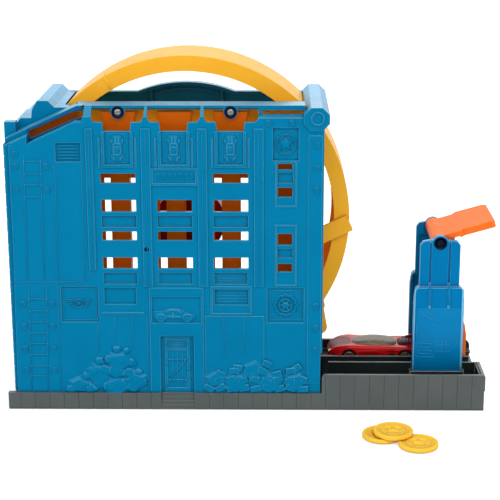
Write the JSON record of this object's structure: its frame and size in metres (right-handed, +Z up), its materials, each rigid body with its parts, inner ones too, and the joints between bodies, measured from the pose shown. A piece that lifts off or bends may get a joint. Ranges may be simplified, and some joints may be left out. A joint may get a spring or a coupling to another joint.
{
  "type": "toy car playset",
  "caption": "Free-standing toy car playset: a building front with a loop track through it, a slam launcher beside it, a die-cast style car on the lane and gold coins.",
  "frame": {"origin": "centre of the underside of the base, on the surface that the playset stands on", "axes": "+X along the front to the viewer's right, towards the launcher; +Y from the front of the building to its back; +Z up"},
  "size_m": [0.3588, 0.1853, 0.2557],
  "materials": {
    "building_blue": "glossy moulded plastic",
    "tower_blue": "glossy moulded plastic",
    "base_grey": "satin moulded plastic",
    "track_black": "satin moulded plastic",
    "loop_yellow": "glossy moulded plastic",
    "wall_orange": "glossy moulded plastic",
    "lever_orange": "glossy moulded plastic",
    "vault_red": "glossy moulded plastic",
    "steel": "bright steel",
    "coin_gold": "glossy moulded plastic",
    "car_paint": "gloss paint",
    "car_glass": "smoky clear plastic",
    "car_dark": "satin plastic",
    "car_tyre": "hard black plastic"
  },
  "bodies": {
    "base": {"base_tray": "base_grey", "launch_track": "track_black", "loop_top": "loop_yellow", "loop_left": "loop_yellow", "loop_right": "loop_yellow", "loop_stay": "loop_yellow", "flap_pin": "steel", "front_shell": "building_blue", "rear_shell": "building_blue", "interior_wall": "wall_orange", "shell_screws": "steel", "vault_drum": "vault_red", "vault_pin": "steel", "tower_front": "tower_blue", "tower_rear": "tower_blue", "lever_pin": "steel", "return_spring": "steel"},
    "lever": {"slam_lever": "lever_orange"},
    "flap": {"entry_flap": "lever_orange"},
    "safe_door": {"vault_door": "vault_red"},
    "car": {"car_body": "car_paint", "car_canopy": "car_glass", "car_engine_cover": "car_dark", "car_chassis": "car_dark"},
    "front_wheelset": {"car_front_axle": "steel", "car_front_wheels": "car_tyre"},
    "rear_wheelset": {"car_rear_axle": "steel", "car_rear_wheels": "car_tyre"},
    "left_coin": {"coin_1": "coin_gold"},
    "top_coin": {"coin_2": "coin_gold"},
    "right_coin": {"coin_3": "coin_gold"}
  },
  "joints": [
    {"name": "lever_slam", "type": "hinge", "parent": "base", "child": "lever", "pos_m": [0.1426, 0.0068, 0.1199], "axis": [0, 1, 0], "range_deg": [0, 14], "stiffness_Nm_per_rad": 0.1, "springref_deg": -20.05},
    {"name": "flap_swing", "type": "hinge", "parent": "base", "child": "flap", "pos_m": [0.05546, 0.0145, 0.05045], "axis": [0, 1, 0], "range_deg": [0, 18]},
    {"name": "safe_door_swing", "type": "hinge", "parent": "base", "child": "safe_door", "pos_m": [-0.0704, 0.0364, 0.13], "axis": [0, 0, 1], "range_deg": [0, 100]},
    {"name": "car_run", "type": "slide", "parent": "base", "child": "car", "axis": [-1, 0, 0], "range_m": [0, 0.042]},
    {"name": "front_wheels_spin", "type": "hinge", "parent": "car", "child": "front_wheelset", "pos_m": [0.078, 0.0068, 0.0248], "axis": [0, 1, 0], "continuous": true},
    {"name": "rear_wheels_spin", "type": "hinge", "parent": "car", "child": "rear_wheelset", "pos_m": [0.121, 0.0068, 0.0248], "axis": [0, 1, 0], "continuous": true},
    {"name": "left_coin_lift", "type": "slide", "parent": "base", "child": "left_coin", "axis": [0, 0, 1], "range_m": [0, 0.03]},
    {"name": "top_coin_lift", "type": "slide", "parent": "left_coin", "child": "top_coin", "axis": [0, 0, 1], "range_m": [0, 0.03]},
    {"name": "right_coin_slide", "type": "slide", "parent": "base", "child": "right_coin", "axis": [0.765, -0.644, 0], "range_m": [0, 0.03]}
  ]
}
